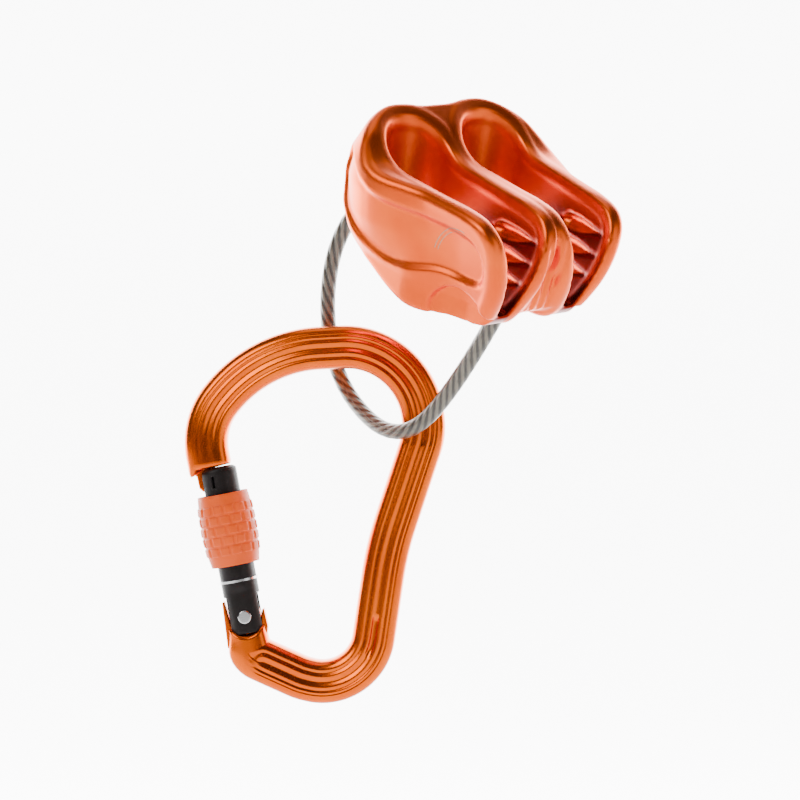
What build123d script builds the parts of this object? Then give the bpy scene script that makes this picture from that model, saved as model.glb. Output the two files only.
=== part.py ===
"""Tubular belay device with its keeper cable loop and a screw-gate pear carabiner.

Row frame: +Z up, +X right, +Y away from the front of the carabiner, millimetres here.
The origin is on the rope face of the device, midway between its two rope slots.
The device is built in its own axes: a along the slots towards the toothed end,
b from the first slot to the second, c out of the rope face.
The carabiner is built in its own plane: x right, y up, z towards its front face.
"""
from build123d import *
import math
import os

os.makedirs("parts", exist_ok=True)

# ---- where the two hard parts lie -------------------------------------------------
DEVICE_A = (0.567, -0.704, -0.428)
DEVICE_C = (0.140, -0.429, 0.892)
CARABINER_ORIGIN = (-23.3, 43.5, -58.7)

# ---- device -------------------------------------------------------------------------
SLOT_ROUND_A = -14.5
SLOT_ROUND_B = 12.4
SLOT_ROUND_R = 9.4
SLOT_MID_A = 6.0
SLOT_MID_B = 11.8
SLOT_MID_R = 8.6
TOOTH_END_A = 30.0
TOOTH_END_B = 10.8
TOOTH_END_R = 7.4
RIM = 4.0
SIDE_OUTLINE = [
    (-29.2, 11.6, 2.0), (-12.5, 0.0, 12.0), (32.6, 0.0, 9.0), (32.8, -15.0, 7.0),
    (24.5, -32.0, 2.5), (2.0, -34.0, 22.0), (-26.0, -22.5, 12.0), (-34.2, -12.0, 6.0),
    (-34.2, -2.0, 8.0),
]
LOBE_BULGE = [(13.4, 12.5), (15.6, 6.0), (18.6, 0.0), (19.4, -6.0), (18.4, -14.0), (13.6, -25.0)]
WEB_HALF = 4.0
WEB_END_A = -30.5
WEB_UNDERSIDE_C = -31.0
VEE_TOP_C = -5.0
VEE_BOTTOM_C = -27.0
VEE_BOTTOM_HALF = 1.6
FLANK_LEAN_START_A = 12.3
ARCH_A = 20.5
ARCH_C = -31.0
ARCH_R = 8.5
ARCH_INNER_B = 15.0
PANEL_RECESS = 1.2
TOOTH_GROOVE_R = 1.5
TOOTH_GROOVE_START_A = 12.0
TOOTH_GROOVE_END_A = 28.0
TOOTH_GROOVE_C = (-8.0, -14.0, -20.0)

# ---- keeper cable -------------------------------------------------------------------
CABLE_OD = 4.4
CORE_OD = 3.2
FERRULE_OD = 7.0
FERRULE_LENGTH = 5.0
MOUTH_R = 2.6
BARE_END = 3.5
LEFT_EXIT = (-30.5, 0.0, -14.0)
RIGHT_EXIT = (14.0, 0.0, -31.0)
EXIT_TILT = 20.0
CABLE_ROUTE = [
    (-27.5, 38.5, 3.0), (-41.0, 50.0, -10.5), (-45.0, 54.5, -31.5), (-41.0, 57.5, -55.0),
    (-25.0, 36.5, -71.0), (-9.5, 24.5, -58.5),
]

# ---- carabiner frame ----------------------------------------------------------------
BAR_WIDTH = 12.2
BAR_DEPTH = 10.0
BAR_ROUND_SHARE = 0.42
GROOVE_HALF = 2.9
GROOVE_DEPTH = 1.2
FRAME_ROUTE = [
    (-53.46, -18.88), (-54.39, -14.02), (-54.7, -5.2), (-39.3, 13.7), (4.1, 16.0),
    (7.0, -9.4), (-3.6, -41.5), (-9.7, -82.4), (-27.8, -78.1), (-41.8, -71.8),
    (-44.08, -63.3),
]
FRAME_RADII = [16.0, 18.9, 37.4, 21.9, 16.9, 91.0, 14.6, 17.0, 5.0]
PLATE_THICK = 4.4
RIVET_CENTRE = (-43.45, -60.7)
TANG_R = 4.3
LEFT_EAR = [(-8.0, -6.5), (5.0, -5.7), (5.0, -5.0), (1.0, -4.6), (-8.0, -3.5)]
RIGHT_EAR = [(-8.0, 3.0), (-2.0, 4.0), (1.0, 5.0), (1.2, 5.6), (-4.0, 5.8), (-8.0, 4.6)]
CAM_BUMP_AT = 34.0
CAM_BUMP_OUT = 4.4
CAM_BUMP_R = 1.0

# ---- gate and its lock --------------------------------------------------------------
GATE_LEAN = 10.8
GATE_R = 5.15
GATE_TOP_SWELL = 0.15
GATE_TOP_R = GATE_R + GATE_TOP_SWELL
CUP_CLEARANCE = 0.6
CUP_R = GATE_R + CUP_CLEARANCE
GATE_TOP_START = 33.5
GATE_LENGTH = 42.6
TANG_CLEARANCE = 0.5
FORK_GAP = PLATE_THICK + TANG_CLEARANCE
FORK_END = 6.0
NOSE_SLOT_START = 34.8
RIVET_R = 1.9
RUNNING_FIT = 0.05
SPRING_BORE_R = 2.3
SPRING_BORE_END = 24.0
PLUNGER_R = 2.2
PLUNGER_TIP_R = 1.5
PLUNGER_START = 4.55
PLUNGER_LENGTH = 6.4
PLUNGER_TIP = 3.4
SPRING_R = 1.6
SPRING_WIRE_R = 0.3
SPRING_TURNS = 8
SLEEVE_START = 14.8
SLEEVE_LENGTH = 20.2
SLEEVE_BORE_R = 6.55
SLEEVE_BELLY_WALL = 1.45
SLEEVE_END_WALL = 0.35
SLEEVE_R = SLEEVE_BORE_R + SLEEVE_BELLY_WALL
SLEEVE_END_R = SLEEVE_BORE_R + SLEEVE_END_WALL
INSERT_START = 16.6
INSERT_LENGTH = 6.0
THREAD_CLEARANCE = 0.07
INSERT_BORE_R = GATE_R + THREAD_CLEARANCE
RING_START = 10.0
RING_THICK = 0.65
RING_STANDS = 0.3
RING_R = GATE_R + RING_STANDS

device_plane = Plane(origin=(0, 0, 0), x_dir=DEVICE_A, z_dir=DEVICE_C)
carabiner_plane = Plane(origin=CARABINER_ORIGIN, x_dir=(1, 0, 0), z_dir=(0, -1, 0))
gate_axis = (-math.sin(math.radians(GATE_LEAN)), math.cos(math.radians(GATE_LEAN)))


def rounded_outline(corners):
    """Face through the (x, y, radius) corners, each corner rounded by its own radius."""
    face = make_face(Polyline(*[(x, y) for x, y, _ in corners], close=True))
    for x, y, radius in corners:
        corner = min(face.vertices(), key=lambda v: math.hypot(v.X - x, v.Y - y))
        face = fillet(corner, radius)
    return face


def tapered_slot(first, second, third=None):
    """Plan outline round circles (a, b, r): two by two, joined by their outer tangents."""
    circles = [first, second] if third is None else [first, second, third]
    area = None
    for (a0, b0, r0), (a1, b1, r1) in zip(circles, circles[1:]):
        pair = make_hull(
            [*(Pos(a0, b0) * Circle(r0)).edges(), *(Pos(a1, b1) * Circle(r1)).edges()]
        )
        area = pair if area is None else area + pair
    return area


def device_form(inset):
    """Outside of the device drawn in by an inset: two tapered lobes that swell like barrels."""
    form = None
    for hand in (-1, 1):
        lobe = extrude(
            tapered_slot(
                (SLOT_ROUND_A, hand * SLOT_ROUND_B, SLOT_ROUND_R + RIM - inset),
                (SLOT_MID_A, hand * SLOT_MID_B, SLOT_MID_R + RIM - inset),
                (TOOTH_END_A, hand * TOOTH_END_B, TOOTH_END_R + RIM - inset),
            ),
            60,
            both=True,
        )
        swell = [(radius - inset, height) for radius, height in LOBE_BULGE]
        top = swell[0][1]
        bottom = swell[-1][1]
        barrel = make_face([Spline(*swell), Polyline(swell[-1], (0, bottom), (0, top), swell[0])])
        barrel = revolve(Plane.XZ * barrel, axis=Axis.Z)
        lobe += Pos(SLOT_ROUND_A, hand * SLOT_ROUND_B, 0) * barrel
        form = lobe if form is None else form + lobe
    return form


def device_body():
    """Side outline times plan outline, with two rope slots, vee ends, arches and panels."""
    side = Plane.XZ * rounded_outline(SIDE_OUTLINE)
    block = extrude(side, 40, both=True)
    web = Rectangle(TOOTH_END_A - WEB_END_A, 2 * WEB_HALF, align=(Align.MIN, Align.CENTER))
    body = block & (device_form(0) + extrude(Pos(WEB_END_A, 0) * web, 60, both=True))
    body -= Pos(-8, 0, WEB_UNDERSIDE_C - 10) * Box(66, 2 * WEB_HALF, 20)
    lean = Plane.YZ * make_face(Polyline((26, -10), (26, -40), (14, -40), (20.5, -12), close=True))
    panel = Plane.XZ * rounded_outline([
        (-29.0, -1.0, 3.0), (-13.0, -5.6, 6.0), (22.0, -5.6, 6.0), (26.0, -16.0, 5.0),
        (13.0, -22.5, 5.0), (-6.5, -26.5, 4.0), (-26.0, -17.0, 5.0),
    ])
    panel_floor = device_form(PANEL_RECESS)
    for hand in (-1, 1):
        wedge = Pos(FLANK_LEAN_START_A, 0, 0) * extrude(lean, 40)
        body -= wedge if hand > 0 else mirror(wedge, about=Plane.XZ)
        window = Pos(0, hand * SLOT_MID_B, 0) * extrude(panel, -hand * 22)
        body -= window - panel_floor
    for hand in (-1, 1):
        slot = tapered_slot(
            (SLOT_ROUND_A, hand * SLOT_ROUND_B, SLOT_ROUND_R),
            (SLOT_MID_A, hand * SLOT_MID_B, SLOT_MID_R),
        )
        body -= extrude(slot, 60, both=True)
        vee = make_face(Polyline(
            (-TOOTH_END_R, 20), (-TOOTH_END_R, VEE_TOP_C), (-VEE_BOTTOM_HALF, VEE_BOTTOM_C),
            (VEE_BOTTOM_HALF, VEE_BOTTOM_C), (TOOTH_END_R, VEE_TOP_C), (TOOTH_END_R, 20),
            close=True,
        ))
        body -= Pos(SLOT_MID_A, hand * TOOTH_END_B, 0) * extrude(Plane.YZ * vee, 40)
        groove_length = TOOTH_GROOVE_END_A - TOOTH_GROOVE_START_A
        groove_at = (TOOTH_GROOVE_END_A + TOOTH_GROOVE_START_A) / 2
        for height in TOOTH_GROOVE_C:
            share = (height - VEE_TOP_C) / (VEE_BOTTOM_C - VEE_TOP_C)
            half = TOOTH_END_R + share * (VEE_BOTTOM_HALF - TOOTH_END_R)
            for flank in (-1, 1):
                groove = Rot(0, 90, 0) * Cone(TOOTH_GROOVE_R, 0.2, groove_length)
                body -= Pos(groove_at, hand * TOOTH_END_B + flank * half, height) * groove
        arch = Rot(90, 0, 0) * Cylinder(ARCH_R, 14)
        body -= Pos(ARCH_A, hand * (ARCH_INNER_B + 7), ARCH_C) * arch
    for exit_point, direction in ((LEFT_EXIT, left_way), (RIGHT_EXIT, right_way)):
        hole = Plane(origin=exit_point, x_dir=(0, 1, 0), z_dir=direction)
        hole_length = FERRULE_LENGTH + 3
        body -= hole * (Pos(0, 0, 3 - hole_length / 2) * Cylinder(FERRULE_OD / 2, hole_length))
    return body


left_way = (-math.cos(math.radians(EXIT_TILT)), 0, -math.sin(math.radians(EXIT_TILT)))
right_way = (-math.sin(math.radians(EXIT_TILT)), 0, -math.cos(math.radians(EXIT_TILT)))


def ferrule(exit_point, direction):
    """Collar pressed into the body, with the cable's ball end loose in its bore."""
    collar = Pos(0, 0, -FERRULE_LENGTH / 2) * Cylinder(FERRULE_OD / 2, FERRULE_LENGTH)
    collar -= Pos(0, 0, -FERRULE_LENGTH) * Cylinder(MOUTH_R, 2 * FERRULE_LENGTH)
    place = Plane(origin=exit_point, x_dir=(0, 1, 0), z_dir=direction)
    return device_plane.location * (place * collar)


def cable_route():
    """Corner points of the cable from the left ferrule to the right one."""
    first = device_plane.from_local_coords(Vector(*LEFT_EXIT))
    last = device_plane.from_local_coords(Vector(*RIGHT_EXIT))
    return [first] + [Vector(*p) for p in CABLE_ROUTE] + [last]


def route_radii(points):
    """Largest bend at each corner: 0.45 of the shorter run over tan of half the turn."""
    radii = []
    for before, here, after in zip(points, points[1:], points[2:]):
        run_in = here - before
        run_out = after - here
        turn = math.radians(run_in.get_angle(run_out))
        radii.append(0.45 * min(run_in.length, run_out.length) / math.tan(turn / 2))
    return radii


def tube(path, outer, inner=0.0):
    """Round section carried along the path."""
    start = Plane(origin=path @ 0, z_dir=path % 0)
    section = start * Circle(outer / 2)
    if inner:
        section -= start * Circle(inner / 2)
    return sweep(section, path=path)


def ball_end(path, at, size):
    """Ball that rounds off the cable where it turns in its ferrule."""
    return Pos(*(path @ at)) * Sphere(size / 2)


def on_gate(along, out=0.0):
    """Point of the carabiner plane at a distance along the gate and out to its right."""
    x = RIVET_CENTRE[0] + gate_axis[0] * along + gate_axis[1] * out
    y = RIVET_CENTRE[1] + gate_axis[1] * along - gate_axis[0] * out
    return (x, y)


def gate_plane(along):
    """Plane across the gate at a distance from the rivet, x towards the front."""
    x, y = on_gate(along)
    return Plane(origin=(x, y, 0), x_dir=(0, 0, 1), z_dir=(gate_axis[0], gate_axis[1], 0))


def carabiner_frame():
    """Grooved bar along the pear outline, with a flat tang and a flat nose."""
    path = FilletPolyline(*FRAME_ROUTE, radius=FRAME_RADII)
    section = RectangleRounded(BAR_WIDTH, BAR_DEPTH, BAR_ROUND_SHARE * BAR_DEPTH)
    for face in (-1, 1):
        section -= Pos(0, face * BAR_DEPTH / 2) * RectangleRounded(
            2 * GROOVE_HALF, 2 * GROOVE_DEPTH, GROOVE_DEPTH * 0.9
        )
    tangent = path % 0
    across = Plane(origin=path @ 0, x_dir=(tangent.Y, -tangent.X, 0), z_dir=tangent)
    bar = sweep(across * section, path=path)
    tang = make_hull([
        *(Pos(*RIVET_CENTRE) * Circle(TANG_R)).edges(),
        *(Pos(-42.4, -70.0) * Circle(4.0)).edges(),
    ])
    cam_angle = math.radians(CAM_BUMP_AT)
    bump = on_gate(CAM_BUMP_OUT * math.cos(cam_angle), CAM_BUMP_OUT * math.sin(cam_angle))
    tang += Pos(*bump) * Circle(CAM_BUMP_R)
    for ear in (LEFT_EAR, RIGHT_EAR):
        tang += make_face(Polyline(*[on_gate(along, out) for along, out in ear], close=True))
    bar -= Pos(*RIVET_CENTRE) * Cylinder(CUP_R, 2 * BAR_DEPTH)
    bar += extrude(tang, PLATE_THICK / 2, both=True)
    nose = make_face(Polyline(
        (-58.6, -15.0), on_gate(44.6, -6.5), on_gate(41.6, -6.4), on_gate(40.9, -6.0),
        on_gate(37.6, -5.9), on_gate(36.4, -4.9),
        on_gate(36.4, -2.6), on_gate(37.6, -1.2), on_gate(39.4, -1.2), on_gate(40.2, -2.4),
        (-52.5, -15.0), close=True,
    ))
    bar += extrude(nose, PLATE_THICK / 2, both=True)
    bar -= Pos(*RIVET_CENTRE) * Cylinder(RIVET_R + RUNNING_FIT, 3 * PLATE_THICK)
    return bar


def gate():
    """Round gate: forked over the tang, slotted over the nose, bored for its spring."""
    stem = gate_plane(0) * (Pos(0, 0, GATE_LENGTH / 2) * Cylinder(GATE_R, GATE_LENGTH))
    head_length = GATE_LENGTH - GATE_TOP_START
    head = Pos(0, 0, head_length / 2) * Cylinder(GATE_TOP_R, head_length)
    head = chamfer(head.edges().filter_by(GeomType.CIRCLE).sort_by(Axis.Z)[-1], 1.0)
    stem += gate_plane(GATE_TOP_START) * head
    foot = gate_plane(0) * (Pos(0, 0, -3) * Cylinder(GATE_R, 6))
    foot &= Pos(*RIVET_CENTRE) * Cylinder(GATE_R - 0.15, 20)
    stem += foot
    fork = gate_plane(0) * (Pos(0, 0, (FORK_END - 8) / 2) * Box(FORK_GAP, 20, FORK_END + 8))
    stem -= fork
    nose_length = GATE_LENGTH - NOSE_SLOT_START + 4
    nose_slot = make_face(Polyline(
        on_gate(NOSE_SLOT_START, -9), on_gate(NOSE_SLOT_START, -0.6),
        on_gate(NOSE_SLOT_START + nose_length, -0.6), on_gate(NOSE_SLOT_START + nose_length, -9),
        close=True,
    ))
    stem -= extrude(nose_slot, FORK_GAP / 2, both=True)
    bore = Pos(0, 0, SPRING_BORE_END / 2) * Cylinder(SPRING_BORE_R, SPRING_BORE_END)
    stem -= gate_plane(0) * bore
    stem -= Pos(*RIVET_CENTRE) * Cylinder(RIVET_R, 20)
    return stem


def gate_rivet():
    """Pin through fork and tang, its domed ends standing just proud of the fork."""
    pin = Cylinder(RIVET_R, 2 * GATE_R - 0.4)
    pin = fillet(pin.edges().filter_by(GeomType.CIRCLE), 0.4)
    return Pos(*RIVET_CENTRE) * pin


def gate_plunger():
    """Short rod that bears on the tang from inside the gate."""
    tip = Pos(0, 0, PLUNGER_LENGTH / 2) * Cylinder(PLUNGER_TIP_R, PLUNGER_LENGTH)
    tip = fillet(tip.edges().sort_by(Axis.Z)[0], 0.8)
    head_length = PLUNGER_LENGTH - PLUNGER_TIP
    head = Pos(0, 0, PLUNGER_TIP + head_length / 2) * Cylinder(PLUNGER_R, head_length)
    return gate_plane(PLUNGER_START) * (tip + head)


def gate_spring():
    """Compression spring between the plunger and the end of the gate's bore."""
    start = PLUNGER_START + PLUNGER_LENGTH + 0.1 + SPRING_WIRE_R
    length = SPRING_BORE_END - 0.1 - SPRING_WIRE_R - start
    coil = Helix(pitch=length / SPRING_TURNS, height=length, radius=SPRING_R)
    across = Plane(origin=coil @ 0, z_dir=coil % 0)
    wire = sweep(across * Circle(SPRING_WIRE_R), path=coil, is_frenet=True)
    return gate_plane(start) * wire


def locking_sleeve():
    """Barrel with a thick belly and raised grip blocks, bored to pass over the nose."""
    outline = make_face([
        Line((0, 0), (SLEEVE_END_R - 0.9, 0)),
        Line((SLEEVE_END_R - 0.9, 0), (SLEEVE_END_R, 1.4)),
        Spline(
            (SLEEVE_END_R, 1.4), (SLEEVE_R - 0.2, SLEEVE_LENGTH * 0.45),
            (SLEEVE_R - 0.6, SLEEVE_LENGTH - 0.8),
        ),
        Line((SLEEVE_R - 0.6, SLEEVE_LENGTH - 0.8), (SLEEVE_R - 1.2, SLEEVE_LENGTH)),
        Line((SLEEVE_R - 1.2, SLEEVE_LENGTH), (0, SLEEVE_LENGTH)),
        Line((0, SLEEVE_LENGTH), (0, 0)),
    ])
    barrel = revolve(Plane.XZ * outline, axis=Axis.Z)
    barrel -= Pos(0, 0, SLEEVE_LENGTH / 2) * Cylinder(SLEEVE_BORE_R, SLEEVE_LENGTH + 1)
    for row in range(4):
        for step in range(12):
            place = Rot(0, 0, 30 * step) * Pos(SLEEVE_R - 0.35, 0, 4.2 + 3.9 * row)
            barrel += place * Box(1.0, 2.6, 2.6)
    return gate_plane(SLEEVE_START) * barrel


def sleeve_thread_insert():
    """Ring inside the sleeve that runs on the gate's stem."""
    ring = Cylinder(SLEEVE_BORE_R - RUNNING_FIT, INSERT_LENGTH)
    ring -= Cylinder(INSERT_BORE_R, INSERT_LENGTH + 1)
    return gate_plane(INSERT_START) * (Pos(0, 0, INSERT_LENGTH / 2) * ring)


def sleeve_stop_ring():
    """Thin snap ring on the stem that the open sleeve comes to rest on."""
    ring = Cylinder(RING_R, RING_THICK) - Cylinder(GATE_R, RING_THICK + 1)
    return gate_plane(RING_START) * (Pos(0, 0, RING_THICK / 2) * ring)


def write(name, solid):
    """One STEP file per piece."""
    export_step(solid, f"parts/{name}.step")
    print(f"{name}: {len(solid.solids())} solid, {solid.volume:.1f} mm3")


corners = cable_route()
bends = route_radii(corners)
route = FilletPolyline(*corners, radius=bends)
print("cable bend radii, mm:", [round(r, 1) for r in bends], "length", round(route.length, 1))
trimmed = route.trim(BARE_END / route.length, 1 - BARE_END / route.length)
core = tube(route, CORE_OD) + ball_end(route, 0, CORE_OD) + ball_end(route, 1, CORE_OD)
sheath = tube(trimmed, CABLE_OD, CORE_OD)
print("core volume over section times length:", core.volume / (math.pi * CORE_OD**2 / 4 * route.length))

write("device_body", device_plane.location * device_body())
write("ferrule_left", ferrule(LEFT_EXIT, left_way))
write("ferrule_right", ferrule(RIGHT_EXIT, right_way))
write("keeper_cable_core", core)
write("keeper_cable_sheath", sheath)
carabiner_pieces = {
    "carabiner_frame": carabiner_frame,
    "gate": gate,
    "gate_rivet": gate_rivet,
    "gate_plunger": gate_plunger,
    "gate_spring": gate_spring,
    "locking_sleeve": locking_sleeve,
    "sleeve_thread_insert": sleeve_thread_insert,
    "sleeve_stop_ring": sleeve_stop_ring,
}
for name, make in carabiner_pieces.items():
    write(name, carabiner_plane.location * make())
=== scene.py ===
"""Belay device on its screw-gate pear carabiner: looks, in the model's own frame, in metres."""
import bpy
import math
import numpy as np
import openvdb as vdb
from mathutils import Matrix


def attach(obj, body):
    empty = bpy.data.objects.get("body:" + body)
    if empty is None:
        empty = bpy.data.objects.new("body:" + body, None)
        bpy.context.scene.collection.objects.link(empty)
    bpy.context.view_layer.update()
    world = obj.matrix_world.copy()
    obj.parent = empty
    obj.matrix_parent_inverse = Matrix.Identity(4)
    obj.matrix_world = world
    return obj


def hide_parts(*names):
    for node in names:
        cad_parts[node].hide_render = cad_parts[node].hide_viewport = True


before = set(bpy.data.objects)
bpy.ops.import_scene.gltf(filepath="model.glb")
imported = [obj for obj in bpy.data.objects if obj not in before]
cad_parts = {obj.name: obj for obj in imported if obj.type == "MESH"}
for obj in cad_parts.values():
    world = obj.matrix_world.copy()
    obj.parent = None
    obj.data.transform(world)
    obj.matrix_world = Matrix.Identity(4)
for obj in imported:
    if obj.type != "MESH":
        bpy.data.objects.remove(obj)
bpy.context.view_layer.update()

MM = 0.001


def unit(v):
    """A vector divided by its length."""
    v = np.asarray(v, float)
    return v / np.linalg.norm(v)


# ---- the two sets of axes the object is built in -------------------------------------
# Device: a along the slots to the toothed end, b across the slots, c out of the rope face.
DEVICE_C = unit((0.140, -0.429, 0.892))
DEVICE_A = np.array((0.567, -0.704, -0.428))
DEVICE_A = unit(DEVICE_A - DEVICE_C * DEVICE_A.dot(DEVICE_C))
DEVICE_B = np.cross(DEVICE_C, DEVICE_A)
DEVICE_AXES = np.array([DEVICE_A, DEVICE_B, DEVICE_C])
# Carabiner: x right, y up, z out of its front face.
CARABINER_AXES = np.array([(1, 0, 0), (0, 0, 1), (0, -1, 0)], float)
CARABINER_ORIGIN = np.array((-23.3, 43.5, -58.7))


def device_to_row(points):
    """Row-frame metres of points given as (a, b, c) in millimetres."""
    return np.asarray(points, float) @ DEVICE_AXES * MM


def carabiner_to_row(points):
    """Row-frame metres of points given as (x, y, z) of the carabiner in millimetres."""
    return (np.asarray(points, float) @ CARABINER_AXES + CARABINER_ORIGIN) * MM


# ---- camera ---------------------------------------------------------------------------
eye = bpy.data.cameras.new("studio_camera")
eye.lens = 95.9
eye.sensor_width = 36.0
eye.clip_start = 0.02
eye.clip_end = 20
camera = bpy.data.objects.new("studio_camera", eye)
camera.location = (-0.0233, -0.5565, -0.0587)
camera.rotation_euler = (math.radians(90), 0, 0)
bpy.context.collection.objects.link(camera)
bpy.context.scene.camera = camera

# ---- mesh and curve making --------------------------------------------------------------


def new_piece(name, points, faces, material):
    """Object at the origin with these points (metres) and faces."""
    mesh = bpy.data.meshes.new(name)
    mesh.from_pydata(np.asarray(points, float).tolist(), [], [list(f) for f in faces])
    mesh.validate()
    mesh.polygons.foreach_set("use_smooth", np.full(len(mesh.polygons), True))
    piece = bpy.data.objects.new(name, mesh)
    bpy.context.collection.objects.link(piece)
    mesh.materials.append(material)
    return piece


def grid_faces(rows, columns, close_rows=False, close_columns=True):
    """Quads between neighbours of a rows x columns grid of points, wrapped where closed."""
    r = np.arange(rows if close_rows else rows - 1)
    c = np.arange(columns if close_columns else columns - 1)
    i, j = np.meshgrid(r, c, indexing="ij")
    i2, j2 = (i + 1) % rows, (j + 1) % columns
    quads = np.stack([i * columns + j, i * columns + j2, i2 * columns + j2, i2 * columns + j], -1)
    return quads.reshape(-1, 4)


def skin(name, rings, material, to_row):
    """Closed surface through rings (n x m x 3, millimetres), each end shut by a fan."""
    n, m, _ = rings.shape
    points = np.concatenate([rings.reshape(-1, 3), rings[:1].mean(1), rings[-1:].mean(1)])
    faces = grid_faces(n, m).tolist()
    j = np.arange(m)
    k = (j + 1) % m
    faces += np.stack([np.full(m, n * m), k, j], -1).tolist()
    faces += np.stack([np.full(m, n * m + 1), (n - 1) * m + j, (n - 1) * m + k], -1).tolist()
    return new_piece(name, to_row(points), faces, material)


# ---- materials ------------------------------------------------------------------------


def srgb(code):
    """Linear colour of an sRGB hex code."""
    part = np.array([int(code[i:i + 2], 16) / 255 for i in (0, 2, 4)])
    linear = np.where(part <= 0.04045, part / 12.92, ((part + 0.055) / 1.055) ** 2.4)
    return (*linear.tolist(), 1.0)


def node(material, kind, links=None, **settings):
    """Add a node; settings are sockets or properties, links go from sockets to its inputs."""
    made = material.node_tree.nodes.new(kind)
    for key, value in settings.items():
        name = key.replace("_", " ").title()
        if hasattr(made, key):
            setattr(made, key, value)
        elif key in made.inputs:
            made.inputs[key].default_value = value
        else:
            made.inputs[name].default_value = value
    for socket, source in (links or {}).items():
        material.node_tree.links.new(source, made.inputs[socket])
    return made


def surface(name, **sockets):
    """New material with a Principled surface; sockets are its plain values."""
    material = bpy.data.materials.new(name)
    material.use_nodes = True
    shader = material.node_tree.nodes["Principled BSDF"]
    for key, value in sockets.items():
        shader.inputs[key.replace("_", " ")].default_value = value
    return material, shader


def join(material, source, target):
    """Link one socket to another."""
    material.node_tree.links.new(source, target)


# a colour mix node keeps its two colours and its result at these places in its socket lists
MIX_FIRST = 6
MIX_SECOND = 7
MIX_RESULT = 2
BROAD_PER_METRE = 70.0
BROAD_TONES = (0.35, 0.65)


def speckle(material, shader, light, dark, grain_mm, bump_mm, rough):
    """Fine grain: colour between two tones, small bumps and a little change of roughness."""
    place = node(material, "ShaderNodeTexCoord")
    noise = node(material, "ShaderNodeTexNoise", {"Vector": place.outputs["Object"]},
                 Scale=1 / (grain_mm * MM), Detail=3.0)
    broad = node(material, "ShaderNodeTexNoise", {"Vector": place.outputs["Object"]},
                 Scale=BROAD_PER_METRE, Detail=2.0)
    tone = node(material, "ShaderNodeMapRange", {"Value": broad.outputs["Fac"]})
    tone.inputs["From Min"].default_value = BROAD_TONES[0]
    tone.inputs["From Max"].default_value = BROAD_TONES[1]
    mix = node(material, "ShaderNodeMix", data_type="RGBA")
    join(material, tone.outputs["Result"], mix.inputs["Factor"])
    mix.inputs[MIX_FIRST].default_value = dark
    mix.inputs[MIX_SECOND].default_value = light
    join(material, mix.outputs[MIX_RESULT], shader.inputs["Base Color"])
    level = node(material, "ShaderNodeMapRange", {"Value": noise.outputs["Fac"]})
    level.inputs["To Min"].default_value = rough[0]
    level.inputs["To Max"].default_value = rough[1]
    join(material, level.outputs["Result"], shader.inputs["Roughness"])
    bump = node(material, "ShaderNodeBump", {"Height": noise.outputs["Fac"]}, Strength=0.25,
                Distance=bump_mm * MM)
    join(material, bump.outputs["Normal"], shader.inputs["Normal"])
    return mix


# Aluminium, hot forged, glass-bead blasted, anodised red-orange: satin with a soft sheen.
device_finish, shader = surface("blasted_anodised_red_orange", Metallic=1.0, Roughness=0.34)
tint = speckle(device_finish, shader, srgb("F2601A"), srgb("E85512"), 0.25, 0.006, (0.32, 0.4))
# painted shade: the colour is darkened towards 7A1200 down in the slots, where "deep" rises to 1
deep = node(device_finish, "ShaderNodeAttribute", attribute_name="deep")
shade = node(device_finish, "ShaderNodeMix", data_type="RGBA")
join(device_finish, deep.outputs["Fac"], shade.inputs["Factor"])
join(device_finish, tint.outputs[MIX_RESULT], shade.inputs[MIX_FIRST])
shade.inputs[MIX_SECOND].default_value = srgb("7A1200")
join(device_finish, shade.outputs[MIX_RESULT], shader.inputs["Base Color"])

# Aluminium, hot forged, tumbled smooth and anodised golden orange: brighter, smoother.
carabiner_finish, shader = surface("tumbled_anodised_golden_orange", Metallic=1.0, Roughness=0.27)
speckle(carabiner_finish, shader, srgb("EC6402"), srgb("E45A00"), 0.5, 0.002, (0.22, 0.3))

# Aluminium, turned and anodised black: nearly matt.
gate_finish, shader = surface("turned_anodised_black", Roughness=0.4, Specular_IOR_Level=0.25)
speckle(gate_finish, shader, srgb("170F0E"), srgb("130C0B"), 0.3, 0.006, (0.4, 0.5))

# Sleeve: plastic, moulded with raised blocks, satin orange.
sleeve_finish, shader = surface("satin_moulded_orange", Roughness=0.45, Specular_IOR_Level=0.3)
speckle(sleeve_finish, shader, srgb("F45A00"), srgb("EE5500"), 0.3, 0.004, (0.38, 0.48))

# Stainless steel, polished.
steel_finish, shader = surface("polished_stainless_steel", Metallic=1.0, Roughness=0.18)
speckle(steel_finish, shader, srgb("DCDCDC"), srgb("CFCFCF"), 0.4, 0.004, (0.2, 0.3))

# Stainless wire, drawn and stranded.
wire_finish, shader = surface("drawn_stainless_wire", Metallic=1.0, Roughness=0.3)
speckle(wire_finish, shader, srgb("A8A49A"), srgb("8E8A80"), 0.3, 0.01, (0.3, 0.4))

# ---- keeper cable ------------------------------------------------------------------------
LEFT_EXIT = (-30.5, 0.0, -14.0)
RIGHT_EXIT = (14.0, 0.0, -31.0)
CABLE_ROUTE = np.array([
    (-27.5, 38.5, 3.0), (-41.0, 50.0, -10.5), (-45.0, 54.5, -31.5), (-41.0, 57.5, -55.0),
    (-25.0, 36.5, -71.0), (-9.5, 24.5, -58.5),
]) * MM
CABLE_R = 2.2 * MM
STRANDS = 7
LAY_LENGTH = 26.0 * MM
STRAND_SWELL = 0.012


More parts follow.
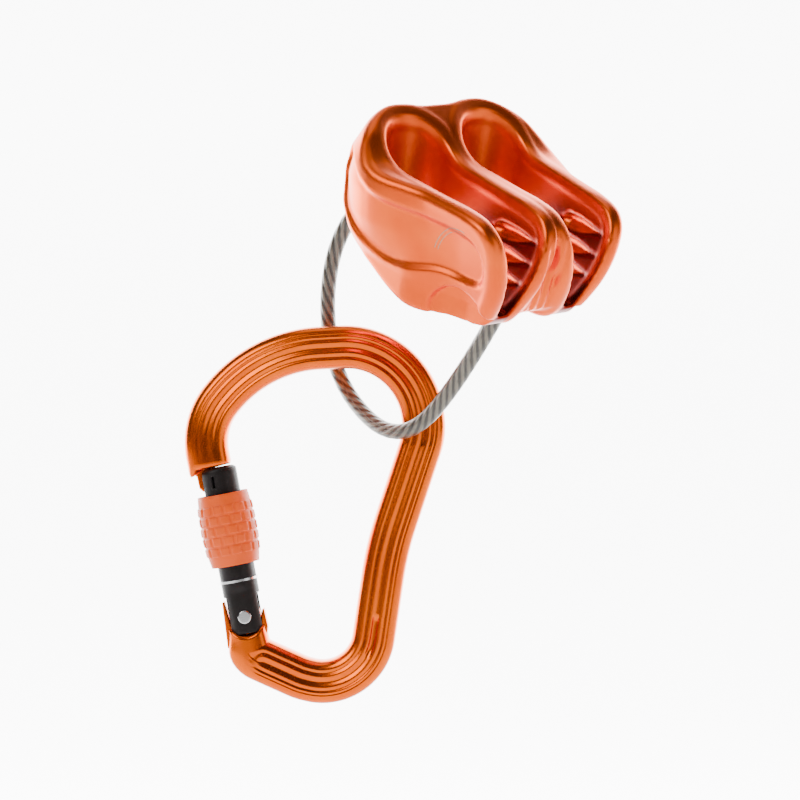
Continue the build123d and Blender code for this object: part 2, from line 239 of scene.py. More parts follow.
def spline_points(name, points):
    """Points along a smooth spline that has these as its control points."""
    curve = bpy.data.curves.new(name, "CURVE")
    curve.dimensions = "3D"
    curve.resolution_u = 24
    spline = curve.splines.new("NURBS")
    spline.points.add(len(points) - 1)
    flat = np.concatenate([points, np.ones((len(points), 1))], 1).ravel()
    spline.points.foreach_set("co", flat)
    spline.order_u = 3
    spline.use_endpoint_u = True
    holder = bpy.data.objects.new(name, curve)
    bpy.context.collection.objects.link(holder)
    mesh = bpy.data.meshes.new_from_object(holder)
    line = np.empty(len(mesh.vertices) * 3)
    mesh.vertices.foreach_get("co", line)
    bpy.data.objects.remove(holder)
    bpy.data.meshes.remove(mesh)
    return line.reshape(-1, 3)


def carried_frame(line):
    """Tangents and two normals along a line, the normals set square to a fixed slant direction (0.3, 0.2,
    0.93).
    """
    tangent = np.gradient(line, axis=0)
    tangent /= np.linalg.norm(tangent, axis=1, keepdims=True)
    side = np.cross(tangent, (0.3, 0.2, 0.93))
    side /= np.linalg.norm(side, axis=1, keepdims=True)
    return tangent, side, np.cross(tangent, side)


ends = device_to_row([LEFT_EXIT, RIGHT_EXIT])
route = np.concatenate([ends[:1], CABLE_ROUTE, ends[1:]])
line = spline_points("keeper_cable_line", route)


def cable_jacket(line, material):
    """Tube: the line plus radius times (cos t, sin t) across it; the radius dips by 2.4 per
    cent between each of seven strands, which turn once round in every 26 mm."""
    tangent, side, up = carried_frame(line)
    run = np.concatenate([[0], np.cumsum(np.linalg.norm(np.diff(line, axis=0), axis=1))])
    around = np.linspace(0, 2 * np.pi, 48, endpoint=False)
    twist = 2 * np.pi * run[:, None] / LAY_LENGTH
    swell = STRAND_SWELL * (np.cos(STRANDS * (around[None, :] + twist)) - 1)
    radius = CABLE_R * (1 + swell)
    ring = np.cos(around)[None, :, None] * side[:, None]
    ring = ring + np.sin(around)[None, :, None] * up[:, None]
    points = line[:, None] + radius[..., None] * ring
    n, m, _ = points.shape
    cloud = np.concatenate([points.reshape(-1, 3), line[:1], line[-1:]])
    faces = grid_faces(n, m).tolist()
    j = np.arange(m)
    k = (j + 1) % m
    faces += np.stack([np.full(m, n * m), k, j], -1).tolist()
    faces += np.stack([np.full(m, n * m + 1), (n - 1) * m + j, (n - 1) * m + k], -1).tolist()
    tube = new_piece("keeper_cable", cloud, faces, material)
    turn = np.concatenate([np.tile(around / (2 * np.pi), n), [0, 0]])
    along = np.concatenate([np.repeat(run, m), run[[0, -1]]])
    for name, values in (("around", turn), ("along", along)):
        layer = tube.data.attributes.new(name, "FLOAT", "POINT")
        layer.data.foreach_set("value", values)
    return tube


# Stranded stainless wire in a clear grey extruded jacket: dull strands under a soft gloss.
cable_finish, shader = surface("jacketed_stranded_wire", Metallic=0.25, Roughness=0.38,
                               Coat_Weight=0.6, Coat_Roughness=0.25)
around = node(cable_finish, "ShaderNodeAttribute", attribute_name="around")
along = node(cable_finish, "ShaderNodeAttribute", attribute_name="along")
turns = node(cable_finish, "ShaderNodeMath", {0: along.outputs["Fac"]}, operation="DIVIDE")
turns.inputs[1].default_value = LAY_LENGTH
lay = node(cable_finish, "ShaderNodeMath", {0: around.outputs["Fac"], 1: turns.outputs[0]},
           operation="ADD")
strand = node(cable_finish, "ShaderNodeMath", {0: lay.outputs[0]}, operation="MULTIPLY")
strand.inputs[1].default_value = STRANDS * 2 * math.pi
wave = node(cable_finish, "ShaderNodeMath", {0: strand.outputs[0]}, operation="COSINE")
place = node(cable_finish, "ShaderNodeTexCoord")
cloudy = node(cable_finish, "ShaderNodeTexNoise", {"Vector": place.outputs["Object"]},
              Scale=400.0, Detail=3.0)
# cloud plus strand times cloud: the strands show less where the jacket is clouded dark
mixed = node(cable_finish, "ShaderNodeMath",
             {0: wave.outputs[0], 1: cloudy.outputs["Fac"], 2: cloudy.outputs["Fac"]},
             operation="MULTIPLY_ADD")
ramp = node(cable_finish, "ShaderNodeValToRGB", {"Fac": mixed.outputs[0]})
ramp.color_ramp.elements[0].position = 0.15
ramp.color_ramp.elements[0].color = srgb("332F27")
ramp.color_ramp.elements[1].position = 0.8
ramp.color_ramp.elements[1].color = srgb("736C5E")
join(cable_finish, ramp.outputs["Color"], shader.inputs["Base Color"])
strand_bump = node(cable_finish, "ShaderNodeBump", {"Height": wave.outputs[0]}, Strength=0.35,
                   Distance=0.2 * MM)
join(cable_finish, strand_bump.outputs["Normal"], shader.inputs["Normal"])

cable = cable_jacket(line, cable_finish)
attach(cable, "keeper")
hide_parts("keeper_cable_sheath", "keeper_cable_core")

# ---- device body ---------------------------------------------------------------------------
SLOT_ROUND = (-14.5, 12.4, 9.4)
SLOT_MID = (6.0, 11.8, 8.6)
SLOT_OUT = (30.0, 10.8, 7.4)
SLOT_BEYOND = (54.0, 9.8, 6.2)
RIM = 4.0
VEE_DROP = 5.8
VEE_FLOOR_C = -27.0
SIDE_CURVE = [
    (-29.4, 10.3), (-28.2, 11.3), (-26.0, 10.4), (-20.0, 6.9), (-16.0, 3.6), (-12.0, 1.2), (-7.5, 0.1),
    (0.0, 0.0), (10.0, 0.0), (20.0, 0.0), (26.5, -1.2), (30.6, -4.6), (32.2, -10.0), (31.8, -16.5),
    (29.6, -23.0), (26.0, -29.0), (21.5, -31.6), (12.0, -32.6), (4.0, -33.0), (-4.0, -31.3),
    (-13.0, -27.6), (-22.0, -23.6), (-28.5, -18.6), (-32.6, -12.0), (-34.0, -5.0), (-33.2, 1.5),
    (-31.2, 6.5),
]
BULGE_AT = [(-25.0, 0.0), (-20.0, 2.9), (-14.0, 5.0), (-6.0, 6.0), (0.0, 5.2), (6.0, 2.4), (11.0, 0.0)]
VOXEL = 0.475
PANEL_OUTLINE = [
    (-28.4, -1.0), (-25.5, 1.8), (-20.0, 0.6), (-13.5, -3.4), (-5.0, -5.6), (7.0, -5.8),
    (20.0, -5.8), (26.0, -8.0), (28.0, -13.5), (26.0, -18.5), (20.0, -20.0), (11.0, -20.2),
    (2.0, -22.6), (-6.0, -23.4), (-14.0, -21.0), (-21.0, -17.0), (-26.6, -12.0), (-28.6, -6.5),
]
PANEL_DEPTH = 1.6
TOOTH_HEIGHTS = (-8.5, -14.0, -19.5)
TOOTH_LEAN = 0.12
TOOTH_START_A = 9.0
ARCH_A = 18.0
ARCH_C = -31.0
ARCH_R = 8.5
ARCH_WALL = 1.3
WEB_HALF = 4.0
WEB_UNDERSIDE_C = -31.0
FERRULE_HOLE_R = 3.4


def smooth_curve(corners, per=8):
    """Closed Catmull-Rom curve through the corners."""
    p = np.asarray(corners, float)
    a, b, c, d = np.roll(p, 1, 0), p, np.roll(p, -1, 0), np.roll(p, -2, 0)
    t = np.linspace(0, 1, per, endpoint=False)[None, :, None]
    a, b, c, d = (q[:, None] for q in (a, b, c, d))
    curve = 0.5 * (2 * b + (c - a) * t + (2 * a - 5 * b + 4 * c - d) * t**2 + (3 * b - a - 3 * c + d) * t**3)
    return curve.reshape(-1, 2)


def inside_distance(x, y, outline):
    """Signed distance of the points (x, y) to a closed outline, negative inside."""
    best = np.full(x.shape, 1e9)
    wind = np.zeros(x.shape)
    ends_ = np.roll(outline, -1, 0)
    for (x0, y0), (x1, y1) in zip(outline, ends_):
        dx, dy = x1 - x0, y1 - y0
        t = np.clip(((x - x0) * dx + (y - y0) * dy) / (dx * dx + dy * dy + 1e-12), 0, 1)
        best = np.minimum(best, np.hypot(x - x0 - t * dx, y - y0 - t * dy))
        crosses = (y0 > y) != (y1 > y)
        at = x0 + (y - y0) / (dy if abs(dy) > 1e-12 else 1e-12) * dx
        wind = np.where(crosses & (x < at), 1 - wind, wind)
    return np.where(wind > 0.5, -best, best)


def tapered_bar(x, y, first, second):
    """Signed distance to the area swept between two circles (x, y, r), plus tangents."""
    (x0, y0, r0), (x1, y1, r1) = first, second
    length = math.hypot(x1 - x0, y1 - y0)
    ux, uy = (x1 - x0) / length, (y1 - y0) / length
    along_ = (x - x0) * ux + (y - y0) * uy
    across = np.abs(-(x - x0) * uy + (y - y0) * ux)
    slope = (r0 - r1) / length
    rise = math.sqrt(1 - slope * slope)
    k = along_ * rise - across * slope
    side_ = across * rise + along_ * slope - r0
    near = np.hypot(along_, across) - r0
    far = np.hypot(along_ - length, across) - r1
    return np.where(k < 0, near, np.where(k > rise * length, far, side_))


def soft_min(a, b, k):
    """The smaller of two distances, blended over k."""
    h = np.clip(0.5 + 0.5 * (b - a) / k, 0, 1)
    return b + (a - b) * h - k * h * (1 - h)


def soft_max(a, b, k):
    """The larger of two distances, blended over k."""
    return -soft_min(-a, -b, k)


def round_max(a, b, r):
    """The larger of two distances with the edge between them rounded to radius r."""
    u = np.maximum(r + a, 0)
    v = np.maximum(r + b, 0)
    return np.minimum(-r, np.maximum(a, b)) + np.hypot(u, v)


def ease(x):
    """0 below 0, 1 above 1, and 3 x^2 - 2 x^3 between."""
    x = np.clip(x, 0, 1)
    return x * x * (3 - 2 * x)


def through(x, corners):
    """Value at x on the smoothed line through the (x, value) corners."""
    at, value = np.array(corners).T
    fine = np.linspace(at[0], at[-1], 400)
    kernel = np.hanning(41)
    padded = np.pad(np.interp(fine, at, value), 20, mode="edge")
    return np.interp(x, fine, np.convolve(padded, kernel / kernel.sum(), "valid"))


def distance_piece(name, distance, low, cell, to_row, material):
    """Mesh of the surface where a grid of distances crosses nought, and its points in mm."""
    grid = vdb.FloatGrid(5.0)
    grid.copyFromArray(np.ascontiguousarray(distance.astype(np.float32)))
    points, triangles, quads = grid.convertToPolygons(isovalue=0.0, adaptivity=0.0)
    points = points * cell + low
    piece = new_piece(name, to_row(points), quads.tolist() + triangles.tolist(), material)
    piece.data.flip_normals()
    return piece, points


def slot_distances(a, hand_b):
    """Distances to a slot that ends at the toothed end, and to one that runs on beyond it."""
    closed = np.minimum(tapered_bar(a, hand_b, SLOT_ROUND, SLOT_MID),
                        tapered_bar(a, hand_b, SLOT_MID, SLOT_OUT))
    return closed, np.minimum(closed, tapered_bar(a, hand_b, SLOT_OUT, SLOT_BEYOND))


def slot_narrowing(a, c):
    """How much narrower a slot's side lies towards the vee, down and to the toothed end."""
    return VEE_DROP * ease((a - 1.0) / 17.0) * np.clip((-c - 2.0) / 25.0, 0, 1)


def device_distance(a, b, c):
    """Signed distance of the forged body at (a, b, c): a wall of constant thickness round two
    tapered slots, cut to the side outline, swollen below the raised rim at the round end; the
    slots narrow to a vee towards the toothed end, with pointed grooves in their flanks."""
    hand_b = np.abs(b)
    slot_closed, slot_open = slot_distances(a, hand_b)
    narrowing = slot_narrowing(a, c)
    swell = through(c, BULGE_AT) * (1 - 0.85 * ease((a + 12.0) / 20.0))
    wall = slot_closed + narrowing - RIM - swell
    core = np.maximum(hand_b - 9.5, np.maximum(a - 29.0, -a - 27.5))
    core = np.maximum(core, -28.5 - c - 0.25 * (24.0 - a))
    wall = soft_min(wall, core, 2.5)
    side2 = inside_distance(a[:, 0, :], c[:, 0, :], smooth_curve(SIDE_CURVE))[:, None, :]
    # side panels: recessed behind a coved step
    panel = inside_distance(a[:, 0, :], c[:, 0, :], smooth_curve(PANEL_OUTLINE))[:, None, :]
    recess = PANEL_DEPTH * ease(-panel / 2.4 + 0.2) * ease((hand_b - 9.0) / 4.0)
    body = round_max(wall + recess, side2 + 0 * b, 2.2)
    # space under the web
    under = np.maximum(hand_b - WEB_HALF, c - WEB_UNDERSIDE_C)
    body = soft_max(body, -np.maximum(under, a - 24.0), 2.0)
    # rope slots
    slots = slot_open + narrowing
    slots = soft_max(slots, -(c - VEE_FLOOR_C) - 30.0 * (1 - ease((a - 9.0) / 7.0)), 1.5)
    for height in TOOTH_HEIGHTS:
        flank = np.abs(slot_open + narrowing)
        width = 1.9 * ease((a - TOOTH_START_A) / 4.0) * ease((31.0 - a) / 15.0)
        groove = np.hypot(flank, c - height - TOOTH_LEAN * (a - 20.0)) - width
        slots = soft_min(slots, np.where(a > TOOTH_START_A, groove, 5.0), 1.0)
    body = round_max(body, -slots, 0.9)
    # pipe-like rim that follows the side outline round the mouth of each slot
    rim_line = np.hypot(slot_open + narrowing - 2.25, side2 + 2.3) - 2.45
    rim_line = np.maximum(rim_line, (-8.5 - 0.467 * (a + 36.0)) - c)
    body = soft_min(body, rim_line, 0.5)
    # shallow flutes down the end of the web
    flutes = 0.35 * (1 + np.cos(np.pi * b / 1.3)) * ease((a - 25.0) / 3.0) * ease((3.6 - hand_b) / 1.0)
    body = body + flutes * ease((-c - 5.0) / 5.0)
    # arched hollows in the outer walls
    arch = np.hypot((a - ARCH_A) * 0.89, c - ARCH_C) - ARCH_R
    outside = np.maximum(ARCH_WALL - (slot_open + narrowing), 12.0 - hand_b)
    body = soft_max(body, -np.maximum(arch, outside), 0.6)
    # holes for the cable ends
    for (ea, _, ec), (da, dc) in ((LEFT_EXIT, (-0.94, -0.342)), (RIGHT_EXIT, (-0.342, -0.94))):
        along_ = (a - ea) * da + (c - ec) * dc
        across = np.sqrt(np.maximum((a - ea)**2 + b**2 + (c - ec)**2 - along_**2, 0))
        hole = np.maximum(across - FERRULE_HOLE_R, np.abs(along_ + 1.0) - 4.0)
        body = soft_max(body, -hole, 0.6)
    return body


def device_skin(material):
    """Surface where the distance is nought, found on a grid of 0.475 mm cells; its "deep" attribute is
    painted shade, rising to 1 down in the slots and tooth grooves.
    """
    low = np.array((-36.5, -32.5, -36.0))
    high = np.array((35.0, 32.5, 14.0))
    count = np.ceil((high - low) / VOXEL).astype(int)
    a = (low[0] + VOXEL * np.arange(count[0]))[:, None, None]
    b = (low[1] + VOXEL * np.arange(count[1]))[None, :, None]
    c = (low[2] + VOXEL * np.arange(count[2]))[None, None, :]
    a, b, c = np.broadcast_arrays(a, b, c)
    piece, points = distance_piece("device_forging", device_distance(a, b, c), low, VOXEL,
                                   device_to_row, material)
    # painted shade: how far down inside a slot or tooth groove each point lies, stored as "deep" to darken
    # the colour there
    pa, pb, pc = points[:, 0], np.abs(points[:, 1]), points[:, 2]
    wall = slot_distances(pa, pb)[1] + slot_narrowing(pa, pc)
    groove = np.min([np.abs(pc - h - TOOTH_LEAN * (pa - 20.0)) for h in TOOTH_HEIGHTS], axis=0)
    groove = ease((2.0 - groove) / 1.4) * ease((pa - 10.0) / 4.0) * ease((31.0 - pa) / 3.0)
    inside = ease((0.9 - wall) / 0.8)
    hollow = ease((wall + 0.1) / 0.5) * ease((4.0 - wall) / 1.0) * ease((24.0 - pb) / 2.0)
    far_down = ease((-pc - 2.0 - 0.25 * np.maximum(8.0 - pa, 0)) / 7.0)
    depth = inside * far_down * (ease((31.5 - pa) / 4.0) * ease((pa + 9.0) / 14.0) + groove * hollow)
    depth = np.clip(depth, 0, 1)
    layer = piece.data.attributes.new("deep", "FLOAT", "POINT")
    layer.data.foreach_set("value", depth.astype(np.float32))
    return piece


body = device_skin(device_finish)
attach(body, "device")
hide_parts("device_body")


def etched_line(name, a, c, width, material):
    """Strip of a given width along (a, c), laid on the near side panel: each edge point goes
    in along b until it meets the forged surface, and stands 0.03 mm off it."""
    way = np.gradient(np.stack([a, c], -1), axis=0)
    way /= np.linalg.norm(way, axis=1, keepdims=True)
    side = np.stack([-way[:, 1], way[:, 0]], -1)[:, None, :] * np.array([-0.5, 0.5])[None, :, None] * width
    edge = (np.stack([a, c], -1)[:, None, :] + side).reshape(-1, 2)
    depth = np.linspace(-32.0, -12.0, 900)[None, :, None]
    grid_a = np.broadcast_to(edge[:, 0][:, None, None], (len(edge), 900, 1))
    grid_c = np.broadcast_to(edge[:, 1][:, None, None], (len(edge), 900, 1))
    field = device_distance(grid_a, np.broadcast_to(depth, grid_a.shape), grid_c)[:, :, 0]
    met = np.argmax(field < 0, axis=1)
    points = np.stack([edge[:, 0], depth[0, met, 0] - 0.03, edge[:, 1]], -1)
    faces = grid_faces(len(a), 2, close_columns=False)
    strip = new_piece(name, device_to_row(points), faces, material)
    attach(strip, "device")
    return strip


# Laser-etched lines: bare grey-tan metal with no shine.
etch_finish, shader = surface("laser_etched_aluminium", Metallic=0.2, Roughness=0.6)
speckle(etch_finish, shader, srgb("B58D74"), srgb("A88068"), 0.2, 0.004, (0.55, 0.65))
turn = np.linspace(0, 1, 60)
for number, radius in enumerate((10.4, 11.4)):
    swing = np.radians(84 + 84 * turn)
    etched_line(f"etched_arc_{number + 1}", 20.5 + radius * np.cos(swing), -16.5 + radius * np.sin(swing),
                0.28, etch_finish)

# ---- carabiner frame ---------------------------------------------------------------------------
FRAME_ROUTE = [
    (-53.46, -18.88), (-54.39, -14.02), (-54.7, -5.2), (-39.3, 13.7), (4.1, 16.0),
    (7.0, -9.4), (-3.6, -41.5), (-9.7, -82.4), (-27.8, -78.1), (-41.8, -71.8),
    (-44.08, -63.3),
]
FRAME_RADII = [16.0, 18.9, 37.4, 21.9, 16.9, 91.0, 14.6, 17.0, 5.0]
BAR_HALF = 6.08
BAR_DEEP = 5.0
PLATE_HALF = 2.2
PLATE_CELL = 0.2
CUP_R = 5.75
RIVET = np.array((-43.45, -60.7))
LEAN = math.radians(10.8)
GATE_UP = np.array((-math.sin(LEAN), math.cos(LEAN)))
GATE_OUT = np.array((math.cos(LEAN), math.sin(LEAN)))


def on_gate(along_, out=0.0):
    """Point of the carabiner plane at a distance along the gate and out to its right."""
    return RIVET + GATE_UP * along_ + GATE_OUT * out


def filleted(corners, radii, step):
    """Even points and tangents on the corner line with each corner turned by an arc."""
    p = np.asarray(corners, float)
    line_ = [p[0]]
    for before, here, after, radius in zip(p, p[1:], p[2:], radii):
        come, go = unit(before - here), unit(after - here)
        half = math.acos(np.clip(come @ go, -1, 1)) / 2
        run = radius / math.tan(half)
        centre = here + unit(come + go) * radius / math.sin(half)
        first, last = here + come * run - centre, here + go * run - centre
        sweep = math.atan2(first[0] * last[1] - first[1] * last[0], first @ last)
        start = math.atan2(first[1], first[0])
        count = max(3, int(abs(sweep) * radius / 0.25))
        angle = start + np.linspace(0, sweep, count)
        line_ += list(centre + radius * np.stack([np.cos(angle), np.sin(angle)], -1))
    line_.append(p[-1])
    line_ = np.array(line_)
    gaps = np.linalg.norm(np.diff(line_, axis=0), axis=1)
    keep = np.concatenate([[True], gaps > 1e-6])
    line_ = line_[keep]
    run = np.concatenate([[0], np.cumsum(np.linalg.norm(np.diff(line_, axis=0), axis=1))])
    even = np.linspace(0, run[-1], int(run[-1] / step) + 1)
    line_ = np.stack([np.interp(even, run, line_[:, k]) for k in (0, 1)], -1)
    return line_, np.gradient(line_, axis=0), even


def dent(u, at, width, depth):
    """Bell-shaped groove: depth times exp(-((u - at) / width)^2)."""
    return depth * np.exp(-((u - at) / width) ** 2)


def frame_bar(material):
    """Section carried along the pear outline. At u across the bar (outside is plus) its half
    depth is 5 (1 - |u / 6.08|^3.2)^(1/3.2), less four grooves. The grooves fade at the nose and
    close round one another in nested bends at the hinge end."""
    line_, way, run = filleted(FRAME_ROUTE, FRAME_RADII, 0.78)
    way /= np.linalg.norm(way, axis=1, keepdims=True)
    outward = np.stack([-way[:, 1], way[:, 0]], -1)
    turn_ = np.linspace(0, np.pi, 111)[None, :]
    u = BAR_HALF * np.cos(turn_) + 0 * run[:, None]
    bare = BAR_DEEP * (1 - np.abs(u / BAR_HALF) ** 3.2) ** (1 / 3.2)
    end = run[-1] - 3.4
    beyond = np.maximum(run[:, None] - end + 9.0, 0)
    bent = 0.4 + np.sign(u - 0.4) * np.hypot(u - 0.4, beyond)
    fade = ease(run[:, None] / 16.0) * ease((end - run[:, None]) / 2.5)
    cut = (dent(bent, 3.35, 0.28, 0.2) + dent(bent, 2.15, 0.5, 0.34) + dent(bent, -0.25, 0.95, 0.58)
           + dent(bent, -2.75, 0.6, 0.42)) * fade
    # plain oval recess on the spine
    cut += 0.45 * ease((5.6 - np.abs(run[:, None] - 155.0)) / 0.8) * ease((0.95 - np.abs(u + 0.2)) / 0.3)
    deep = np.maximum(bare - cut, 0)
    # the last 0.8 mm at the nose end is drawn in a little
    draw = 1 - 0.05 * (1 - ease(run[:, None] / 0.8))
    front = np.stack([u * draw, deep * draw], -1)
    back = front[:, ::-1][:, 1:-1] * np.array([1, -1])
    section = np.concatenate([front, back], 1)
    # the outer edge narrows in to the hinge and hooks 2 mm further down at the nose
    across_ = section[..., :1]
    hinge_share = ease((run - run[-1] + 8.0) / 8.0)[:, None, None]
    across_ = across_ * np.where(across_ > 0, 1 - 0.3 * hinge_share, 1.0)
    flat = line_[:, None] + across_ * outward[:, None]
    hook = 1.9 * ease((across_ - 3.6) / 2.0) * ease(1 - run / 4.0)[:, None, None]
    flat = flat - hook * way[0]
    # the hinge end is drawn back to a cup of radius 5.75 mm round the rivet
    last = flat[-1:] - RIVET
    over = CUP_R**2 - np.sum((last - (last @ way[-1])[..., None] * way[-1]) ** 2, -1)
    back_by = np.maximum(last @ way[-1] + np.sqrt(np.maximum(over, 0)), 0)
    share = ease((run - run[-1] + 9.0) / 9.0)[:, None, None]
    flat = flat - share * back_by[..., None] * way[-1]
    rings = np.concatenate([flat, section[..., 1:]], -1)
    return skin("frame_bar", rings, material, carabiner_to_row)


def outline_plate(name, field, low, high, half, cell, material):
    """Flat plate where a plane distance is below nought, its edges rounded to 0.4 mm."""
    count = np.ceil((np.array(high) - np.array(low)) / cell).astype(int)
    x = (low[0] + cell * np.arange(count[0]))[:, None, None]
    y = (low[1] + cell * np.arange(count[1]))[None, :, None]
    layers = int(math.ceil(2 * (half + 1) / cell))
    z = (-(half + 1) + cell * np.arange(layers))[None, None, :]
    x, y, z = np.broadcast_arrays(x, y, z)
    distance = round_max(field(x[:, :, 0], y[:, :, 0])[:, :, None] + 0 * z, np.abs(z) - half, 0.4)
    corner = np.array((low[0], low[1], -(half + 1)))
    plate, _ = distance_piece(name, distance, corner, cell, carabiner_to_row, material)
    return plate


def nose_field(x, y):
    """Hooked nose plate, as in the plane of the carabiner."""
    return inside_distance(x, y, np.array([
        (-58.6, -15.0), on_gate(44.6, -6.5), on_gate(41.6, -6.4), on_gate(40.8, -6.0),
        on_gate(37.6, -5.9), on_gate(36.4, -4.9), on_gate(36.4, -2.6), on_gate(37.6, -1.2),
        on_gate(39.4, -1.2), on_gate(40.2, -2.4), (-52.5, -15.0),
    ]))


def tang_field(x, y):
    """Round tang with its cam bump and two ears that show beside the gate's foot."""
    round_tang = tapered_bar(x, y, (*RIVET, 4.3), (-42.4, -70.0, 4.0))
    bump = on_gate(4.4 * math.cos(math.radians(34)), 4.4 * math.sin(math.radians(34)))
    field = np.minimum(round_tang, np.hypot(x - bump[0], y - bump[1]) - 1.0)
    hole = np.hypot(x - RIVET[0], y - RIVET[1]) - 1.95
    ears = np.minimum(
        inside_distance(x, y, np.array([on_gate(-8.0, -6.5), on_gate(5.0, -5.7), on_gate(5.0, -5.0),
                                        on_gate(1.0, -4.6), on_gate(-8.0, -3.5)])),
        inside_distance(x, y, np.array([on_gate(-8.0, 4.6), on_gate(-8.0, 3.0), on_gate(-2.0, 4.0),
                                        on_gate(1.0, 5.0), on_gate(1.2, 5.6), on_gate(-4.0, 5.8)])),
    )
    return np.maximum(np.minimum(field, ears), -hole)


bar = frame_bar(carabiner_finish)
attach(bar, "carabiner")
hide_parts("carabiner_frame")
nose = outline_plate("frame_nose", nose_field, (-61.0, -28.0), (-49.0, -13.5), PLATE_HALF,
                     PLATE_CELL, carabiner_finish)
tang = outline_plate("frame_tang", tang_field, (-52.0, -75.0), (-34.5, -52.0), PLATE_HALF,
                     PLATE_CELL, carabiner_finish)
for plate in (nose, tang):
    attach(plate, "carabiner")

# ---- gate ------------------------------------------------------------------------------------------
GATE_LONG = 42.6


def gate_to_row(points):
    """Row-frame metres of points given as (out, front, along) on the gate, in millimetres."""
    points = np.asarray(points, float)
    flat = RIVET + points[:, 2:] * GATE_UP + points[:, :1] * GATE_OUT
    return carabiner_to_row(np.concatenate([flat, points[:, 1:2]], 1))


def gate_distance(o, z, s):
    """Signed distance of the gate: a round stem with a collared head and a flat-cheeked foot,
    forked over the tang, slotted over the nose, bored for its spring and rivet."""
    radius = 5.12 + 0.2 * ease((s - 33.0) / 0.8)
    stem = round_max(np.hypot(o, z) - radius, s - GATE_LONG, 1.6)
    foot = round_max(np.abs(o) - 5.1, -s - 4.7, 3.4)
    stem = np.maximum(stem, foot)
    stem = soft_max(stem, np.abs(z) - 4.62 - 0.8 * ease((s - 7.0) / 2.5), 0.5)
    collar = dent(s, 33.2, 0.22, 0.35)
    stem = stem + collar
    fork = np.maximum(np.abs(z) - 2.45, s - 6.0)
    nose_gap = np.maximum(np.maximum(np.abs(z) - 2.45, 34.8 - s), o + 0.6)
    slit = np.maximum(np.maximum(np.abs(o + 1.4) - 0.3, np.abs(s - 38.6) - 1.7), 3.7 - z)
    bore = np.maximum(np.hypot(o, z) - 2.3, np.abs(s - 12.0) - 12.0)
    hole = np.hypot(o, s) - 1.9
    for cut in (fork, nose_gap, slit, bore, hole):
        stem = round_max(stem, -cut, 0.15)
    return stem


GATE_CELL = 0.22
GATE_LOW = np.array((-6.2, -6.2, -5.6))
out_, front_, along_gate = np.broadcast_arrays(
    (GATE_LOW[0] + GATE_CELL * np.arange(57))[:, None, None],
    (GATE_LOW[1] + GATE_CELL * np.arange(57))[None, :, None],
    (GATE_LOW[2] + GATE_CELL * np.arange(222))[None, None, :])
gate_piece, _ = distance_piece("gate_stem", gate_distance(out_, front_, along_gate), GATE_LOW,
                               GATE_CELL, gate_to_row, gate_finish)
# out, front and along make a left-handed set, so the faces are turned back
gate_piece.data.flip_normals()
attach(gate_piece, "gate_body")
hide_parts("gate")

# ---- locking sleeve ------------------------------------------------------------------------------------


def sleeve_barrel(material):
    """Turned about the gate: radius R(s) + 0.32 B, where R is a smooth barrel from 6.8 to 7.7
    mm and B rises to 1 inside each block of a pattern of five rows laid like bricks, 14 round;
    the bore comes back down inside it at 6.55 mm."""
    along_ = np.concatenate([np.linspace(0, 20.2, 150), [20.2, 0.0]])
    outer = through(np.clip(along_, 0, 20.2), [(0.0, 6.75), (1.0, 6.95), (3.0, 7.3), (9.0, 7.72),
                                                (15.0, 7.6), (19.3, 7.25), (20.2, 7.05)])
    around_ = np.linspace(0, 2 * np.pi, 280, endpoint=False)
    row = (along_ - 2.9) / 2.9
    stagger = 0.5 * (np.floor(row) % 2)
    cell_s = row - np.floor(row) - 0.5
    cell_t = (14 * around_[None, :] / (2 * np.pi) + stagger[:, None]) % 1 - 0.5
    block = ease((0.44 - np.abs(cell_s)) / 0.12)[:, None] * ease((0.43 - np.abs(cell_t)) / 0.11)
    block = block * ((row > 0) & (row < 5))[:, None]
    radius = outer[:, None] + 0.32 * block
    radius[-2:] = 6.55
    points = np.stack([radius * np.sin(around_), radius * np.cos(around_),
                       14.8 + along_[:, None] + 0 * radius], -1)
    n, m, _ = points.shape
    faces = grid_faces(n, m, close_rows=True)
    return new_piece("sleeve_barrel", gate_to_row(points.reshape(-1, 3)), faces, material)


barrel = sleeve_barrel(sleeve_finish)
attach(barrel, "sleeve")
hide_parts("locking_sleeve")

# ---- finishes of the CAD pieces kept as they are ---------------------------------------------
KEPT = {
    "ferrule_left": steel_finish, "ferrule_right": steel_finish, "gate_rivet": steel_finish,
    "gate_plunger": steel_finish, "gate_spring": steel_finish, "sleeve_thread_insert": gate_finish,
    "sleeve_stop_ring": steel_finish,
}
for name, material in KEPT.items():
    piece = bpy.data.objects[name]
    piece.data.materials.clear()
    piece.data.materials.append(material)

# ---- floor, backdrop and light ------------------------------------------------------------------


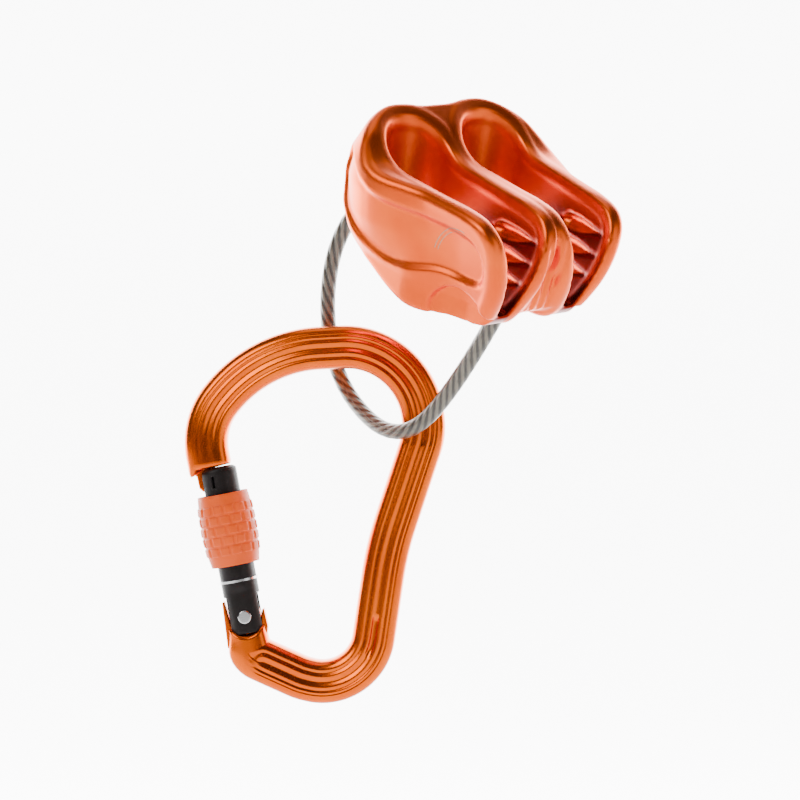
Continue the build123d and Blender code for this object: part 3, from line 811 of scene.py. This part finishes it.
def sheet(name, path, material):
    """Sheet 5 m wide in x along a path of (y, z)."""
    points = np.stack([np.broadcast_to([-2.5, 2.5], (len(path), 2)),
                       np.broadcast_to(path[:, :1], (len(path), 2)),
                       np.broadcast_to(path[:, 1:], (len(path), 2))], -1)
    piece = new_piece(name, points.reshape(-1, 3), grid_faces(len(path), 2, close_columns=False), material)
    return piece


bend = np.linspace(0, np.pi / 2, 24)
curve = np.stack([0.5 + 0.4 * np.sin(bend), 0.14 - 0.4 * np.cos(bend)], -1)
# Matt white paper, on the floor and up the wall; the wall is lit from behind.
floor_paper, shader = surface("matt_white_paper", Roughness=0.9)
speckle(floor_paper, shader, srgb("F4F4F4"), srgb("F0F0F0"), 2.0, 0.01, (0.85, 0.95))
wall_paper, shader = surface("backlit_white_paper", Roughness=0.9)
speckle(wall_paper, shader, srgb("FFFFFF"), srgb("FCFCFC"), 2.0, 0.01, (0.85, 0.95))
shader.inputs["Emission Color"].default_value = srgb("FFFFFF")
shader.inputs["Emission Strength"].default_value = 8.0
sheet("studio_floor", np.array([(-2.0, -0.26), (0.5, -0.26)]), floor_paper)
sheet("studio_wall", np.concatenate([curve, [(0.9, 1.2)]]), wall_paper)

world = bpy.data.worlds.new("studio_air")
world.use_nodes = True
world.node_tree.nodes["Background"].inputs["Color"].default_value = (1, 1, 1, 1)
world.node_tree.nodes["Background"].inputs["Strength"].default_value = 0.08
bpy.context.scene.world = world


def softbox(name, at, target, size, watts):
    """Square area light at a point, turned to face the target."""
    light = bpy.data.lights.new(name, "AREA")
    light.size = size
    light.energy = watts
    holder = bpy.data.objects.new(name, light)
    holder.location = at
    way = np.array(target) - np.array(at)
    flat_run = math.hypot(way[0], way[1])
    holder.rotation_euler = (math.atan2(flat_run, -way[2]), 0, math.atan2(way[1], way[0]) - math.pi / 2)
    bpy.context.collection.objects.link(holder)
    return holder


softbox("key_left", (-0.7, -0.8, 0.6), (0, 0, -0.05), 0.7, 9)
softbox("fill_right", (0.8, -0.6, 0.1), (0, 0, -0.05), 0.6, 1.5)
softbox("top", (0.0, 0.0, 0.9), (0, 0, -0.05), 0.6, 1.5)
